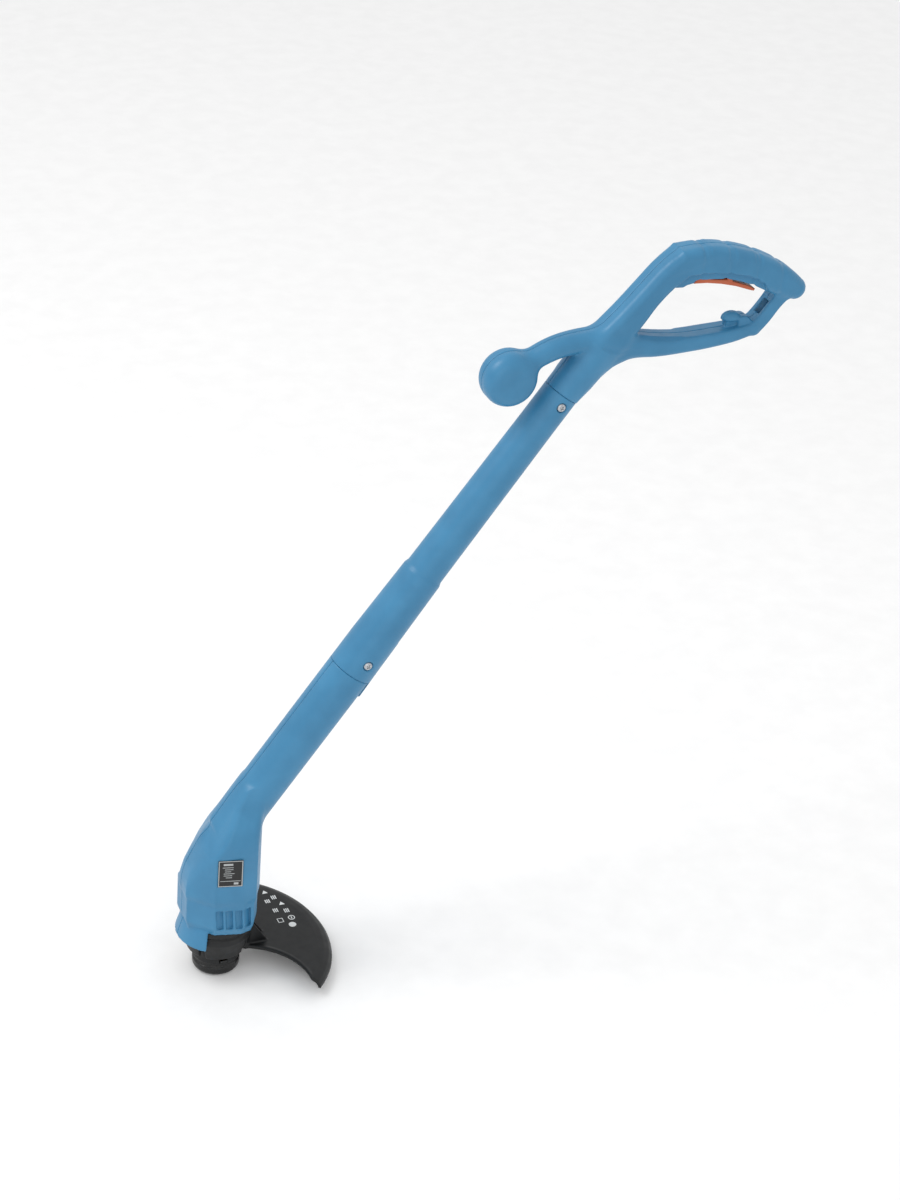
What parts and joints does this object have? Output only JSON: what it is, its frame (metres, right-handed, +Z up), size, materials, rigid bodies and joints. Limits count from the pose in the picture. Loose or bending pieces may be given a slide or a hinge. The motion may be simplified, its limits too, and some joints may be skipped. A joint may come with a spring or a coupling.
{
  "type": "string trimmer",
  "caption": "Corded string trimmer with a motor head, bump-feed spool, crescent guard, straight shaft, closed-loop trigger handle and a fixed front knob.",
  "frame": {"origin": "middle of the flat bottom of the bump knob, on the spool axis", "axes": "+Z up the spool axis, +X from the spool towards the handle and the user, +Y to the right-hand shell"},
  "size_m": [0.6019, 0.1771, 0.7336],
  "materials": {
    "blue_shell": "satin",
    "black_guard": "satin",
    "gloss_black": "gloss",
    "orange_trigger": "satin",
    "zinc_screw": "satin",
    "steel": "satin",
    "laminations": "satin",
    "copper_wire": "satin",
    "black_moulding": "satin",
    "carbon": "matt",
    "label_plate": "satin",
    "pale_moulding": "satin",
    "capacitor_case": "gloss",
    "cable_sheath": "matt",
    "nylon_filament": "satin"
  },
  "bodies": {
    "frame": {"housing_left": "blue_shell", "housing_right": "blue_shell", "housing_screws": "zinc_screw", "rating_label": "label_plate", "stator_core": "laminations", "field_coils": "copper_wire", "brush_bridge": "black_moulding", "brush_holders": "black_moulding", "carbon_brushes": "carbon", "upper_bearing": "steel", "lower_bearing": "steel", "bearing_plate": "black_moulding", "terminal_block": "pale_moulding", "guard": "black_guard", "guard_screws": "zinc_screw", "line_cutter": "steel", "cutter_screws": "zinc_screw", "middle_tube": "blue_shell", "joint_screws": "zinc_screw", "joint_nuts": "zinc_screw", "handle_left": "blue_shell", "handle_right": "blue_shell", "handle_screws": "zinc_screw", "trigger_pin": "steel", "trigger_spring": "steel", "switch_body": "black_guard", "capacitor": "capacitor_case", "power_inlet": "black_guard", "inlet_pins": "steel", "inner_lead": "cable_sheath", "lead_clamp": "black_guard", "clamp_screws": "zinc_screw"},
    "rotor": {"motor_shaft": "steel", "armature_core": "laminations", "armature_windings": "copper_wire", "commutator": "copper_wire", "cooling_fan": "black_moulding", "spool_hub": "black_guard", "line_eyelets": "steel", "bump_spring": "steel"},
    "bump": {"bump_knob": "gloss_black"},
    "reel": {"line_spool": "gloss_black", "nylon_line": "nylon_filament"},
    "trigger": {"trigger": "orange_trigger"},
    "plunger": {"switch_plunger": "pale_moulding"}
  },
  "joints": [
    {"name": "rotor_spin", "type": "hinge", "parent": "frame", "child": "rotor", "pos_m": [0, 0, 0.06], "axis": [0, 0, 1], "continuous": true},
    {"name": "bump_slide", "type": "slide", "parent": "rotor", "child": "bump", "axis": [0, 0, 1], "range_m": [0, 0.004], "stiffness_N_per_m": 600, "springref_m": -0.004, "deforming": ["bump_spring"]},
    {"name": "reel_turn", "type": "hinge", "parent": "bump", "child": "reel", "pos_m": [0, 0, 0.02], "axis": [0, 0, 1], "continuous": true},
    {"name": "trigger_pull", "type": "hinge", "parent": "frame", "child": "trigger", "pos_m": [0.44845, 0, 0.70469], "axis": [0, -1, 0], "range_deg": [0, 5.5], "stiffness_Nm_per_rad": 1.2, "springref_deg": -6.88, "deforming": ["trigger_spring"]},
    {"name": "plunger_press", "type": "slide", "parent": "frame", "child": "plunger", "axis": [0, 0, 1], "range_m": [0, 0.00288]}
  ],
  "couplings": [
    {"joint": "plunger_press", "follows": "trigger_pull", "m_per_rad": 0.029}
  ]
}
